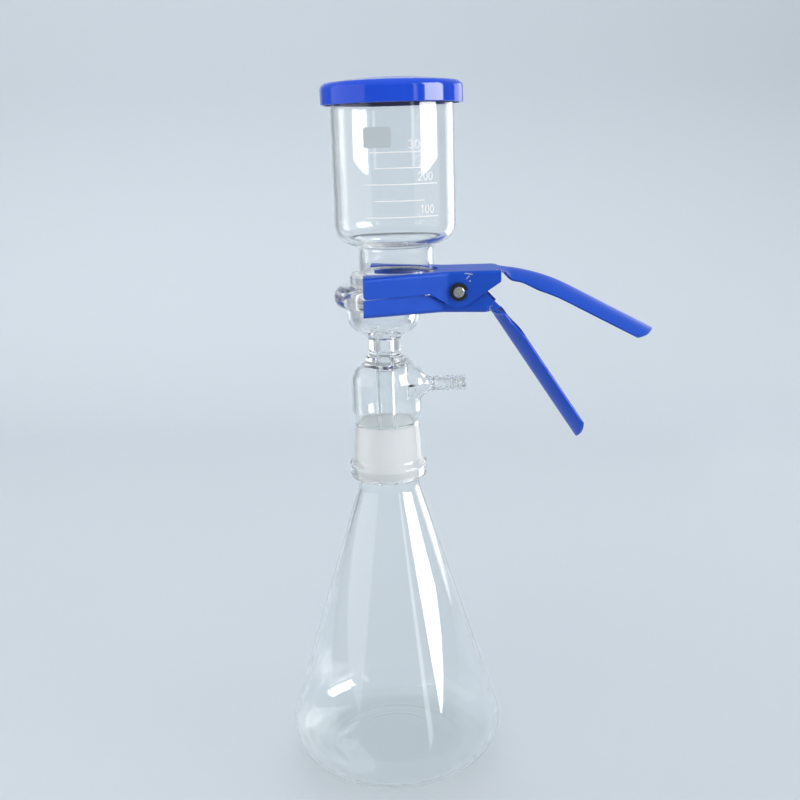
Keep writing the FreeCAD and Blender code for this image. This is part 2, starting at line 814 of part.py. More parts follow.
# ---------------------------------------------------------------- write the pieces
PIECES = {
    "flask": make_flask,
    "filter_base": make_filter_base,
    "frit_disc": make_frit_disc,
    "funnel": make_funnel,
    "lid": make_lid,
    "upper_jaw": make_upper_jaw,
    "lower_jaw": make_lower_jaw,
    "pivot_pin": make_pivot_pin,
    "front_clip": lambda: make_clip(-1),
    "rear_clip": lambda: make_clip(1),
    "torsion_spring": make_torsion_spring,
}


def main():
    os.makedirs("parts", exist_ok=True)
    for name, make in PIECES.items():
        shape = make()
        solids = shape.Solids
        solid = solids[0] if len(solids) == 1 else Part.makeCompound(solids)
        box = solid.BoundBox
        print(
            f"{name:15s} solids {len(solids)} valid {solid.isValid()} volume {solid.Volume:10.1f}"
            f"  x {box.XMin:.1f}..{box.XMax:.1f}  y {box.YMin:.1f}..{box.YMax:.1f}"
            f"  z {box.ZMin:.1f}..{box.ZMax:.1f}"
        )
        solid.exportStep(f"parts/{name}.step")


main()
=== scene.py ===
import bmesh
import bpy
import numpy as np
from mathutils import Euler, Matrix, Vector


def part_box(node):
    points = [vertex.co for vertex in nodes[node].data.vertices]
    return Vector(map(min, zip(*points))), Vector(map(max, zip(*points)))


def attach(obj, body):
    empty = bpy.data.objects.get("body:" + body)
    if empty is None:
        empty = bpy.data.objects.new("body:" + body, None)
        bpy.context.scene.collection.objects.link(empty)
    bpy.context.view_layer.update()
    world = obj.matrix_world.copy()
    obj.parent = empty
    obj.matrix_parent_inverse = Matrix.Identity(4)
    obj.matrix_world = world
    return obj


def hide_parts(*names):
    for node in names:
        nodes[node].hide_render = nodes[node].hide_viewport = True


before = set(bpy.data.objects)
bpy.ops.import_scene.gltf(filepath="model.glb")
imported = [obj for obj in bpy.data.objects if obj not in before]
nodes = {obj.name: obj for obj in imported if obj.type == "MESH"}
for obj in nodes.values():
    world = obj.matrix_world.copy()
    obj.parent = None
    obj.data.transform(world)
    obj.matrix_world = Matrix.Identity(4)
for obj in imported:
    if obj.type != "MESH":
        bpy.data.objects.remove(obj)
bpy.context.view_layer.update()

for name in sorted(nodes):
    low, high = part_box(name)
    print(f"{name:15s} z {low[2] * 1000:6.1f} to {high[2] * 1000:6.1f} mm")

# %% [markdown]
# ## Sizes
#
# Glass is clearer than CAD facets can show, so the glass pieces are worked out again as smooth
# surfaces. They need the maker's own sizes, in millimetres. Heights are counted from the bench.
# %% Sizes of the glass
MM = 0.001
JOINT_R, JOINT_Z, JOINT_SLOPE = 20.0, 194.0, 0.05  # ground cone: radius at its wide, low end
FLASK_TOP, SOCKET_TOP, COLLAR_Z = 229.0, 227.0, 192.5
RING_Z, BOWL_Z, UNDER_Z, SEAL_Z = 266.8, 283.0, 302.4, 315.3  # up the base to its face
FLANGE_Z, CUP_Z, RIM_Z = 323.0, 341.0, 433.4  # up the funnel
CUP_R, NECK_R, GLASS = 37.0, 23.0, 2.3  # GLASS is the wall of the flask and the funnel
SHIFT = 8.6  # the funnel sits this far toward the clamp
GAP = 0.05  # between pieces that fit into each other
SEAM = 0.02  # half the air film between pieces that touch
START_R = 24.0  # an outline that closes on itself starts here, on the flat sealing face


def joint_r(z):
    """Radius of the ground cone at height z: it narrows one in ten on the diameter, upwards."""
    return JOINT_R - (z - JOINT_Z) * JOINT_SLOPE


# %% [markdown]
# ## Outlines with soft corners
#
# Blown glass has no sharp corner. An outline is therefore given as a few corners with a radius
# each, as on a drawing, and every corner becomes the arc tangent to its two sides. A bevel
# modifier could round the finished mesh, but it can't hold a different radius at each corner.
# %% Rounded outlines
def unit(v):
    """The vector of length 1 that points the same way."""
    return v / np.linalg.norm(v)


def rounded(corners, step=5.0):
    """Points of an outline through corners (radius, height, corner radius), in mm.

    The arc at a corner starts r / tan(a) before it, where a is half the corner's angle, and
    its centre lies r / sin(a) along the bisector. Its points turn step degrees at a time.
    """
    c = np.array([(*p, 0.0)[:3] for p in corners], float)
    p = c[:, :2]
    out = [p[:1]]
    for before, at, after, r in zip(p[:-2], p[1:-1], p[2:], c[1:-1, 2]):
        u, v = unit(before - at), unit(after - at)
        half = np.arccos(np.clip(u @ v, -1, 1)) / 2
        if r == 0 or half > 1.565:
            out.append(at[None])
            continue
        centre = at + unit(u + v) * r / np.sin(half)
        a, b = at + u * r / np.tan(half) - centre, at + v * r / np.tan(half) - centre
        turn = np.arctan2(a[0] * b[1] - a[1] * b[0], a @ b)
        t = np.linspace(0, turn, max(3, int(np.degrees(abs(turn)) / step) + 2))
        cos, sin = np.cos(t), np.sin(t)
        out.append(centre + np.stack([a[0] * cos - a[1] * sin, a[0] * sin + a[1] * cos], 1))
    out.append(p[-1:])
    return np.concatenate(out)


corner = rounded([(0, 0), (10, 0, 3), (10, 10)])
print("a 10 mm square corner rounded by 3 mm:", len(corner), "points")

# %% [markdown]
# Two more steps work on outlines. Long straight runs are cut up, because smooth shading spreads
# the bend of an arc over the whole face beside it. A wall comes from moving a path sideways by
# its thickness, as a Solidify modifier would, but here each radius grows or shrinks to match.
# %% Even steps and walls
def spread(points, longest=5.0):
    """The same outline with its long straight runs cut into equal steps under longest mm.

    A run over 1 mm also gets a point 0.2 mm from each end, so that the smooth shading of the
    arcs beside it ends there and the run itself stays true.
    """
    d = np.linalg.norm(np.diff(points, axis=0), axis=1)
    s = np.concatenate([[0], np.cumsum(d)])
    extra = [np.linspace(a, b, int((b - a) / longest) + 2)[1:-1] for a, b in zip(s, s[1:])]
    extra += [np.array([a + 0.2, b - 0.2]) for a, b in zip(s, s[1:]) if b - a > 1]
    at = np.unique(np.concatenate([s, *extra]).round(6))
    return np.stack([np.interp(at, s, points[:, k]) for k in (0, 1)], 1)


def wall_inside(corners, wall):
    """The path moved sideways by wall, to the right of its travel, each radius to match.

    Each side moves along its own normal, and the new corner is where two moved sides cross.
    """
    c = np.array([(*p, 0.0)[:3] for p in corners], float)
    d = np.diff(c[:, :2], axis=0)
    d /= np.linalg.norm(d, axis=1)[:, None]
    start = c[:-1, :2] + np.stack([d[:, 1], -d[:, 0]], 1) * wall
    turn = d[:-1, 0] * d[1:, 1] - d[:-1, 1] * d[1:, 0]
    gap = start[1:] - start[:-1]
    t = (gap[:, 0] * d[1:, 1] - gap[:, 1] * d[1:, 0]) / turn
    middle = start[:-1] + d[:-1] * t[:, None]
    r = np.where(c[1:-1, 2] > 0, np.maximum(c[1:-1, 2] + wall * np.sign(turn), 0.3), 0)
    last = c[-1, :2] + np.array([d[-1, 1], -d[-1, 0]]) * wall
    return [(*start[0], 0.0), *np.column_stack([middle, r]).tolist(), (*last, 0.0)]


def with_lips(outside, inside, lip):
    """Both paths with the corner at their first point, the rim, rounded by lip."""
    return [(*outside[0][:2], lip), *outside[1:]], [(*inside[0][:2], lip), *inside[1:]]


print("that corner in short steps:", len(spread(corner)), "points")

# %% [markdown]
# ## Turning an outline into glass
#
# A grid of points is enough for any turned or blown form: one index runs along the outline, the
# other round the axis. Where the outline ends on the axis, its row of points is one pole, so
# doubles are merged, and the normals are then made to point out of the glass.
# %% Meshes from grids
def piece(name, verts, faces, slots=(), bands=None, smooth=True):
    """An object from numpy vertices (metres) and faces; bands gives each face's material."""
    mesh = bpy.data.meshes.new(name)
    mesh.from_pydata(verts.tolist(), [], faces.tolist())
    if bands is not None:
        mesh.polygons.foreach_set("material_index", np.asarray(bands, np.int32))
    bm = bmesh.new()
    bm.from_mesh(mesh)
    bmesh.ops.remove_doubles(bm, verts=bm.verts, dist=1e-7)
    bmesh.ops.recalc_face_normals(bm, faces=bm.faces)
    bm.to_mesh(mesh)
    bm.free()
    mesh.polygons.foreach_set("use_smooth", np.full(len(mesh.polygons), smooth))
    obj = bpy.data.objects.new(name, mesh)
    bpy.context.scene.collection.objects.link(obj)
    for m in slots:
        mesh.materials.append(m)
    print(f"{name}: {len(mesh.vertices)} points, {len(mesh.polygons)} faces")
    return obj


def grid_faces(rows, columns, wrap_rows=False, wrap_columns=False):
    """Four-sided faces between neighbouring rows and columns of a grid of points."""
    i = np.arange(rows if wrap_rows else rows - 1)
    j = np.arange(columns if wrap_columns else columns - 1)
    i, j = np.meshgrid(i, j, indexing="ij")
    ni, nj = (i + 1) % rows, (j + 1) % columns
    corners = [i * columns + j, ni * columns + j, ni * columns + nj, i * columns + nj]
    return np.stack(corners, -1).reshape(-1, 4)


def turned(name, outline, slots, band=None, centre=0.0, turns=180):
    """Surface of revolution: (r, z) at angle t goes to (centre + r cos t, r sin t, z).

    band says from the radius and height of a face's middle which material it has.
    """
    t = np.linspace(0, 2 * np.pi, turns, endpoint=False)
    r, z = outline[:, :1], outline[:, 1:]
    x = centre + r * np.cos(t)
    verts = np.stack([x, r * np.sin(t), np.broadcast_to(z, x.shape)], -1).reshape(-1, 3) * MM
    closed = outline[0, 0] > 1e-6
    faces = grid_faces(len(outline), turns, closed, True)
    bands = None
    if band is not None:
        middle = (outline + np.roll(outline, -1, 0)) / 2
        per_row = band(middle[:, 0], middle[:, 1]).astype(int)
        bands = np.repeat(per_row if closed else per_row[:-1], turns)
    return piece(name, verts, faces, slots, bands)


print("a grid of 3 by 4 points has", len(grid_faces(3, 4)), "faces")

# %% [markdown]
# ## Materials
#
# Colours are written as the eye reads them, in sRGB hex, and Blender wants them linear, so one
# function converts them. One more adds a node with its settings and links. Whatever is the same
# all over a surface is set on the shader itself.
# %% Colour and node helpers
def colour(text):
    """Linear red, green, blue and alpha of an sRGB hex colour such as "#1f46c8"."""
    c = np.array([int(text[i : i + 2], 16) for i in (1, 3, 5)]) / 255
    linear = np.where(c <= 0.04045, c / 12.92, ((c + 0.055) / 1.055) ** 2.4)
    return (*linear.tolist(), 1.0)


def add(tree, kind, settings=None, **sockets):
    """Adds a node. settings are its own properties; each socket gets a value or a link.

    A socket is named with _ for a space, or by its number, as in _0 for the first one.
    """
    n = tree.nodes.new(kind)
    for key, value in (settings or {}).items():
        setattr(n, key, value)
    for key, value in sockets.items():
        socket = n.inputs[int(key[1:])] if key[1:].isdigit() else n.inputs[key.replace("_", " ")]
        if isinstance(value, bpy.types.NodeSocket):
            tree.links.new(value, socket)
        else:
            socket.default_value = value
    return n


def blank(name):
    """A material with nothing in it but its output."""
    m = bpy.data.materials.new(name)
    m.use_nodes = True
    m.node_tree.nodes.clear()
    return m, m.node_tree, add(m.node_tree, "ShaderNodeOutputMaterial")


print("the middle grey #808080 is", round(colour("#808080")[0], 3), "in linear light")

# %% [markdown]
# ## Borosilicate glass
#
# Laboratory glass is drawn tube, blown in a flame: it has an IOR of 1.47, no colour through a
# thin wall and a fire-polished skin without grain. Its skin is never quite flat, though, so a
# faint bump some 20 mm long makes reflections wander. A ground face scatters most of its light
# and looks white. Lamps shine straight through by a Transparent shader for shadow rays, because
# real glass this thin casts almost no shadow.
# %% Clear and ground glass
def glass(name, tint, roughness, white=0.0):
    """Glass of a given tint. white is the share of light that a ground surface scatters."""
    m, tree, out = blank(name)
    place = add(tree, "ShaderNodeTexCoord")
    wave = add(tree, "ShaderNodeTexNoise", Vector=place.outputs["Object"], Scale=1 / (22 * MM),
               Detail=1.0, Roughness=0.4)
    bump = add(tree, "ShaderNodeBump", Height=wave.outputs[0], Strength=0.04, Distance=0.4 * MM)
    body = add(tree, "ShaderNodeBsdfPrincipled", Base_Color=colour(tint), Roughness=roughness,
               IOR=1.47, Transmission_Weight=1.0 - white, Normal=bump.outputs[0])
    clear = add(tree, "ShaderNodeBsdfTransparent", Color=colour("#fcfdfd"))
    path = add(tree, "ShaderNodeLightPath")
    mix = add(tree, "ShaderNodeMixShader", _0=path.outputs["Is Shadow Ray"],
              _1=body.outputs[0], _2=clear.outputs[0])
    tree.links.new(mix.outputs[0], out.inputs["Surface"])
    return m


GLASSES = [
    glass("borosilicate_clear", "#fdfefe", 0.0),
    glass("borosilicate_ground", "#f6f9fc", 0.5, white=0.85),
]
print("glass materials:", *(m.name for m in GLASSES))

# %% [markdown]
# ## The flask
#
# A conical flask is blown into a mould: a flat foot with a soft heel and a middle pushed up, one
# long cone, and a neck. Here the neck is a cone of its own, ground outside to seal in the base's
# socket. One outline runs up the inside from the axis, over the rim and down the outside back to
# the axis, so the wall is real glass with air inside.
# %% Flask
HEEL, HEEL_R = np.array([48.5, 21.0]), 21.0  # centre (radius, height) and radius of the heel
NECK_FOOT = np.array([19.4, 186.0])  # where the long cone meets the neck
FOOT_W, PUSH_UP = 4.5, 2.5  # width of the flat ring it stands on, rise of the foot's middle


def flask_corners():
    """The outside from rim to foot; the long cone is the tangent from the neck to the heel."""
    down = HEEL - NECK_FOOT
    slope = np.arctan2(down[0], -down[1]) + np.arcsin(HEEL_R / np.linalg.norm(down))
    corner_r, foot_r = NECK_FOOT[0] + NECK_FOOT[1] * np.tan(slope), HEEL[0] - FOOT_W
    return [
        (joint_r(FLASK_TOP), FLASK_TOP), (JOINT_R, JOINT_Z, 0.6), (NECK_FOOT[0], 192.4, 1.2),
        (*NECK_FOOT, 14.0), (corner_r, 0, HEEL_R), (foot_r, 0, 6),
        (foot_r * 0.62, PUSH_UP, 60), (0, PUSH_UP),
    ]


def ground_cone(r, z):
    """The neck's outer face, from 1.5 mm over its foot to 1.5 mm under its rim."""
    return (z > JOINT_Z + 1.5) & (z < FLASK_TOP - 1.5) & (r > joint_r(z) - 0.4)


outside = flask_corners()
outside, inside = with_lips(outside, wall_inside(outside, GLASS), GLASS * 0.42)
flask_line = spread(rounded(inside[::-1] + outside))
flask = turned("flask_glass", flask_line, GLASSES, ground_cone)
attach(flask, "unit")
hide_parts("flask")

# %% [markdown]
# ## The base
#
# The base is several drawn tubes fused in a flame: a thick flange, a bowl, a narrow stem, then a
# ring seal where the drip tube passes inside the chamber's shoulder, and a ground socket with a
# collar. All of that is one outline, which goes over the flange, down the outside, up the inside
# and round the drip tube.
# %% Base, the turned body
CHAMBER_R, CHAMBER_WALL, BORE_R, DRIP_R, STEM_R = 21.9, 2.2, 4.2, 6.0, 10.0
FLANGE_R, BOWL_R, GALLERY_R, RING_R, COLLAR_R = 30.25, 22.6, 16.75, 13.4, 24.7
DISC_R, SEAT_R, SEAT_Z = 18.5, 18.55, SEAL_Z - 5  # sintered disc, and the ledge it lies on
chamber = [
    (RING_R, RING_Z), (CHAMBER_R - 3.3, RING_Z - 2.4, 8), (CHAMBER_R, RING_Z - 10.3, 14),
    (CHAMBER_R, SOCKET_TOP + 9, 12), (CHAMBER_R - 1.4, SOCKET_TOP + 2.5, 4),
    (CHAMBER_R - 1.4, SOCKET_TOP),
]
hollow = wall_inside(chamber, CHAMBER_WALL)
CEILING_Z = hollow[1][1] + 1.4  # top of the chamber's air
FACE_Z = SEAL_Z - SEAM  # the base's ground face


def base_corners():
    """All corners of the section, from the flat face round to the flat face again."""
    socket, low, tip = joint_r(SOCKET_TOP) + GAP, joint_r(COLLAR_Z) + GAP, JOINT_Z - 4
    return [
        (START_R, FACE_Z), (FLANGE_R, FACE_Z, 6), (FLANGE_R, UNDER_Z, 6), (BOWL_R, UNDER_Z, 1.2),
        (BOWL_R, BOWL_Z + 7.5, 11), (STEM_R, BOWL_Z, 4), (STEM_R, RING_Z + 5.6, 4),
        (RING_R, RING_Z + 2.4, 1.8), (RING_R, RING_Z, 0.6), *chamber[1:5],
        (socket + 2.2, SOCKET_TOP, 3), (joint_r(COLLAR_Z + 9.2) + 2.4, COLLAR_Z + 12.2, 4),
        (COLLAR_R, COLLAR_Z + 9.2, 1.8), (COLLAR_R, COLLAR_Z, 3), (low + 0.9, COLLAR_Z, 0.9),
        (low - GAP, COLLAR_Z + 2), (socket, SOCKET_TOP, 0.8), *hollow[-2:0:-1],
        (hollow[1][0] - 3, CEILING_Z, 3), (DRIP_R, CEILING_Z, 2), (DRIP_R, tip, 0.8),
        (BORE_R, tip, 0.8), (BORE_R, BOWL_Z + 2.5, 4), (GALLERY_R, BOWL_Z + 9.5, 8),
        (GALLERY_R, SEAT_Z), (SEAT_R, SEAT_Z), (SEAT_R, FACE_Z, 0.3), (START_R, FACE_Z),
    ]


def ground_socket(r, z):
    """The socket's inner face, from above the collar's mouth to its top."""
    return (z > COLLAR_Z + 5) & (z < SOCKET_TOP - 0.5) & (r > 15) & (r < 20.3)


base_line = spread(rounded(base_corners()))[:-1]
base = turned("base_glass", base_line, GLASSES, ground_socket)

# %% [markdown]
# The drip tube's tip is cut on a slant of 34 degrees, so that drops run to its long side. It is
# turned square and then sheared: points near the tip move up in step with their distance along
# X, and the move fades out 15 mm higher up.
# %% Slanted tip
TIP_TOP, TIP_FADE, TIP_REACH = 205, 15, 7  # top and length of the fade, and radius of what moves
TIP_SHARE = 0.958  # of the rise that a slant of 35 degrees has


def points_of(obj):
    """The mesh's points as an array of rows (x, y, z), in metres."""
    co = np.empty(len(obj.data.vertices) * 3)
    obj.data.vertices.foreach_get("co", co)
    return co.reshape(-1, 3)


co = points_of(base) / MM
near = np.clip((TIP_TOP - co[:, 2]) / TIP_FADE, 0, 1) * (np.hypot(co[:, 0], co[:, 1]) < TIP_REACH)
co[:, 2] += near * ((co[:, 0] + TIP_REACH) * np.tan(np.radians(35)) * TIP_SHARE - 1)
base.data.vertices.foreach_set("co", (co * MM).ravel())
print("points moved at the tip:", int((near > 0).sum()))

# %% [markdown]
# The hose arm flares where it was pulled onto the chamber and carries six moulded ribs that hold
# a vacuum hose. It is turned about its own axis, joined to the chamber and then bored, as a
# glassblower would. Its root must follow the chamber's wall inside, so what would stand in the
# chamber's air is cut away first, with the same outline that made the air space.
# %% Outlines of the hose arm
ARM_Z, ARM_R, GROOVE_R, ARM_WALL = 252.2, 4.85, 4.2, 1.9
ARM_ROOT, ARM_NECK, ARM_END = CHAMBER_R - 8.5, 26.5, 50.2  # start and end of the flare, and tip
FLARE = np.tan(np.radians(46.0))
RIBS, RIB_PITCH = 6, 3.1
BORE_START = 2.2  # the bore's flare starts this far in from the arm's


def arm_outline(wall=0.0):
    """(distance along the arm, radius) of the outside, or of the bore where wall is over 0."""
    flare = [(ARM_ROOT, ARM_R + (ARM_NECK - ARM_ROOT) * FLARE), (ARM_NECK, GROOVE_R, 8)]
    if wall:
        wide, neck, _ = wall_inside([*flare, (ARM_END, GROOVE_R)], wall)
        start = wide[0] + BORE_START
        return [(start, 0), (start, wide[1] - BORE_START * FLARE), neck,
                (ARM_END + 1, GROOVE_R - wall), (ARM_END + 1, 0)]
    starts = ARM_END - 3.0 - RIB_PITCH * np.arange(RIBS, 0, -1)
    ribs = [p for x in starts
            for p in ((x, GROOVE_R), (x + 0.5, ARM_R, 0.3), (x + 2.8, GROOVE_R))]
    return [(ARM_ROOT, 0), *flare, *ribs, (ARM_END - 2.6, ARM_R, 0.5), (ARM_END, ARM_R, 0.9),
            (ARM_END, 0)]


print(RIBS, "ribs,", round(RIB_PITCH * RIBS, 1), "mm in all")


# %% Hose arm
def along_x(name, outline):
    """Surface of revolution about the arm: (s, r) at angle t goes to (s, r cos t, r sin t)."""
    made = turned(name, rounded(outline)[:, ::-1], GLASSES, turns=96)
    x, y, z = points_of(made).T
    made.data.vertices.foreach_set("co", np.stack([z, x, y + ARM_Z * MM], 1).ravel())
    return made


def carve(body, tool, operation):
    """Joins the tool to the body, or cuts it away, and removes the tool."""
    m = body.modifiers.new(operation, "BOOLEAN")
    m.object, m.operation, m.solver = tool, operation, "MANIFOLD"
    graph = bpy.context.evaluated_depsgraph_get()
    mesh = bpy.data.meshes.new_from_object(body.evaluated_get(graph), depsgraph=graph)
    body.modifiers.clear()
    body.data = mesh
    bpy.data.objects.remove(tool)


air = [(0, CEILING_Z), (hollow[1][0] - 3, CEILING_Z, 3), *hollow[1:-1], (0, SOCKET_TOP)]
arm = along_x("arm", arm_outline())
carve(arm, turned("air", spread(rounded(air)), GLASSES), "DIFFERENCE")
carve(base, arm, "UNION")
carve(base, along_x("bore", arm_outline(ARM_WALL)), "DIFFERENCE")
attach(base, "unit")
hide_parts("filter_base")
print("base:", len(base.data.polygons), "faces")

# %% [markdown]
# ## The sintered disc
#
# Glass powder is heated in a mould until its grains just stick, so the disc is white, matt and
# full of fine pores. It is turned like the rest, and a noise at the size of its grit gives the
# grain; the real 0.1 mm grit is drawn at 0.4 mm, or it would not show.
# %% Sintered disc
def sintered():
    """Sintered glass: two near whites and a bump at the size of the grit, without any gloss."""
    m, tree, out = blank("sintered_glass")
    place = add(tree, "ShaderNodeTexCoord")
    grit = add(tree, "ShaderNodeTexNoise", Vector=place.outputs["Object"], Scale=1 / (0.4 * MM),
               Detail=3.0)
    shade = add(tree, "ShaderNodeMix", {"data_type": "RGBA"}, _0=grit.outputs[0],
                _6=colour("#dfe0dc"), _7=colour("#fafaf6"))
    bump = add(tree, "ShaderNodeBump", Height=grit.outputs[0], Strength=0.5, Distance=0.1 * MM)
    body = add(tree, "ShaderNodeBsdfPrincipled", Base_Color=shade.outputs[2], Roughness=0.9,
               Normal=bump.outputs[0])
    tree.links.new(body.outputs[0], out.inputs["Surface"])
    return m


low = SEAT_Z + 0.03  # an air film over the ledge
disc_line = rounded([(0, low), (DISC_R, low, 0.3), (DISC_R, FACE_Z, 0.3), (0, FACE_Z)])
disc = turned("sintered_disc", spread(disc_line, 2.0), [sintered()])
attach(disc, "unit")
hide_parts("frit_disc")

# %% [markdown]
# ## The funnel
#
# The cup, its neck and the flange that the clamp grips are one blown piece with a plain
# fire-polished rim. Its outline closes on itself, because the funnel is open at both ends. Only
# the face under the flange is ground, to seal on the membrane.
# %% Funnel
FOOT_R, foot_z = 28.7, SEAL_Z + SEAM
path = [(CUP_R, RIM_Z), (CUP_R, CUP_Z, 11), (NECK_R, CUP_Z, 5), (NECK_R, foot_z)]
flange = [(NECK_R, FLANGE_Z, 2), (FOOT_R, FLANGE_Z, 1.6), (FOOT_R, foot_z, 0.8)]
inside = wall_inside(path, GLASS)
outside, inside = with_lips(path[:3] + flange, inside, GLASS * 0.42)
start = (START_R, foot_z)


def sealing_face(r, z):
    """The flat foot, out from the neck's bore."""
    return (z < SEAL_Z + 0.05) & (r > 21)


funnel_line = spread(rounded([start, *inside[::-1], *outside, start]))[:-1]
funnel = turned("funnel_glass", funnel_line, GLASSES, sealing_face, SHIFT)
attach(funnel, "unit")
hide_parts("funnel")

# %% [markdown]
# ## The lid
#
# The lid is moulded in blue polypropylene: a domed top, a skirt that stands clear of the glass
# and a ring inside that centres it. Polypropylene is waxy, so light gets a little way in, but a
# polished mould leaves it a clear gloss. A fine orange-peel bump, 1.5 mm across, softens its
# reflections.
# %% Lid finish
def polypropylene():
    """Moulded plastic: a slow cloud in the blue, a little subsurface light and a soft peel."""
    m, tree, out = blank("moulded_polypropylene_blue")
    place = add(tree, "ShaderNodeTexCoord")
    peel = add(tree, "ShaderNodeTexNoise", Vector=place.outputs["Object"], Scale=1 / (1.5 * MM),
               Detail=2.0)
    cloud = add(tree, "ShaderNodeTexNoise", Vector=place.outputs["Object"], Scale=1 / (30 * MM))
    shade = add(tree, "ShaderNodeMix", {"data_type": "RGBA"}, _0=cloud.outputs[0],
                _6=colour("#1748d2"), _7=colour("#1c54e2"))
    bump = add(tree, "ShaderNodeBump", Height=peel.outputs[0], Strength=0.06, Distance=0.03 * MM)
    body = add(tree, "ShaderNodeBsdfPrincipled", Base_Color=shade.outputs[2], Roughness=0.1,
               IOR=1.49, Subsurface_Weight=0.1, Subsurface_Scale=1.5 * MM,
               Normal=bump.outputs[0])
    tree.links.new(body.outputs[0], out.inputs["Surface"])
    return m


lid_blue = polypropylene()
print("lid material:", lid_blue.name)

# %% [markdown]
# The lid's outline starts at the middle inside, goes down and up the ring, along the underside
# to the skirt's edge, and back over the top. The dome rises 3 mm from the skirt to a flat middle,
# and its height is set so that the underside just rests on the cup's rim.
# %% Lid
LID_R, LID_WALL, DOME, DOME_R = CUP_R + 5.4, 1.9, 3.0, 16.0  # DOME_R: radius of the flat middle
SKIRT_Z, RING_END_Z = RIM_Z - 11, RIM_Z - 8
rise = DOME / (LID_R - DOME_R)
thick = LID_WALL * np.hypot(1, rise)  # the sloping top, measured upright
edge_z = RIM_Z + GAP + thick - (LID_R - CUP_R + GLASS / 2) * rise
path = [(LID_R, SKIRT_Z), (LID_R, edge_z, 4), (DOME_R, edge_z + DOME, 160), (0, edge_z + DOME)]
inside = wall_inside(path, -LID_WALL)
path, inside = with_lips(path, inside, 0.5)


def under(r):
    """Height of the sloping underside at radius r."""
    return edge_z - thick + (LID_R - r) * rise


ring_r = CUP_R - GLASS - 0.4
ring_in = ring_r - LID_WALL
ring = [(ring_in, under(ring_in)), (ring_in, RING_END_Z, 0.6), (ring_r, RING_END_Z, 0.6),
        (ring_r, under(ring_r))]
lid_line = [inside[-1], inside[-2], *ring, inside[1], inside[0], *path]
lid = turned("lid_moulding", spread(rounded(lid_line)), [lid_blue], None, SHIFT)
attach(lid, "unit")
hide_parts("lid")

# %% [markdown]
# ## Print on the cup
#
# Graduations are fired white enamel: five lines, a number over each long one and a grey patch to
# write on. Each is a flat shape bent round the cup: a point at x along the print goes to the
# angle x / R, just outside the glass. A Shrinkwrap could lay it on, but the angle is exact.
# %% Enamel
def enamel(name, dark, light):
    """Fired enamel: matt, with a fine cloud where the screen laid it thinner."""
    m, tree, out = blank(name)
    place = add(tree, "ShaderNodeTexCoord")
    wear = add(tree, "ShaderNodeTexNoise", Vector=place.outputs["Object"], Scale=1 / (0.8 * MM),
               Detail=4.0)
    shade = add(tree, "ShaderNodeMix", {"data_type": "RGBA"}, _0=wear.outputs[0],
                _6=colour(dark), _7=colour(light))
    body = add(tree, "ShaderNodeBsdfPrincipled", Base_Color=shade.outputs[2], Roughness=0.45)
    tree.links.new(body.outputs[0], out.inputs["Surface"])
    return m


white = enamel("enamel_white", "#fbfcfd", "#ffffff")
grey = enamel("enamel_grey", "#bcc5cb", "#c9d1d6")
PRINT_R = CUP_R + 0.04
print("print stands", round((PRINT_R - CUP_R), 2), "mm off the glass")

# %% Graduations
LEVELS = {395.1: True, 386.3: False, 377.2: True, 367.9: False, 358.6: True}  # height: long?
HALF_LINE = 0.3  # half the height of a line


def bent(name, x, z, faces, ink=white):
    """Bends flat print round the cup: x mm along it is the angle x / R from the front."""
    a = np.asarray(x) / CUP_R
    verts = np.stack([SHIFT + PRINT_R * np.sin(a), -PRINT_R * np.cos(a), np.asarray(z)], -1)
    made = piece(name, verts.reshape(-1, 3) * MM, faces, [ink], smooth=False)
    wall = made.modifiers.new("coat", "SOLIDIFY")
    wall.thickness, wall.offset = 0.03 * MM, 0.0
    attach(made, "unit")
    return made


def strip(x0, x1, z0, z1, corner=0.0, columns=48):
    """A rectangle in columns. Near its ends each column is shorter by the round corner's arc."""
    x = np.linspace(x0, x1, columns)
    into = np.clip(corner - np.minimum(x - x0, x1 - x), 0, corner)
    cut = corner - np.sqrt(corner**2 - into**2)
    return np.tile(x, 2), np.concatenate([z0 + cut, z1 - cut]), grid_faces(2, columns)


def round_cup(x):
    """Distance round the cup of a point that is x off its middle, seen from the front."""
    return CUP_R * np.arcsin(x / CUP_R)


for z, is_long in LEVELS.items():
    x0, x1 = (-16.6, 24.9) if is_long else (-11.2, 17.3)
    line = strip(round_cup(x0), round_cup(x1), z - HALF_LINE, z + HALF_LINE)
    bent(f"graduation_{z:.0f}", *line)
bent("writing_patch", *strip(round_cup(-16.7), round_cup(-1.0), 397.7, 409.2, 1.2), grey)

# %% [markdown]
# Text objects could give the numbers, but a screen printer's figures are single strokes, so each
# is a ribbon of even width along a few arcs and lines. Each figure is drawn in a cell 1 high.
# %% Numbers
STROKE, CELL_W = 0.55, 0.72  # a stroke's width in mm, and a cell's width over its height


def arc(cx, cz, rx, rz, start, end, steps=18):
    """Points of an ellipse's arc, from start to end in degrees, counted from +x upwards."""
    t = np.radians(np.linspace(start, end, steps))
    return np.stack([cx + rx * np.cos(t), cz + rz * np.sin(t)], 1)


DIGITS = {
    "0": arc(0.33, 0.5, 0.25, 0.44, 90, -270, 37),
    "1": np.array([[0.17, 0.76], [0.37, 0.94], [0.37, 0.06]]),
    "2": np.concatenate([arc(0.32, 0.68, 0.24, 0.26, 170, -38), [[0.07, 0.06], [0.6, 0.06]]]),
    "3": np.concatenate([arc(0.31, 0.72, 0.21, 0.22, 160, -80),
                         arc(0.31, 0.28, 0.25, 0.22, 80, -160)]),
}


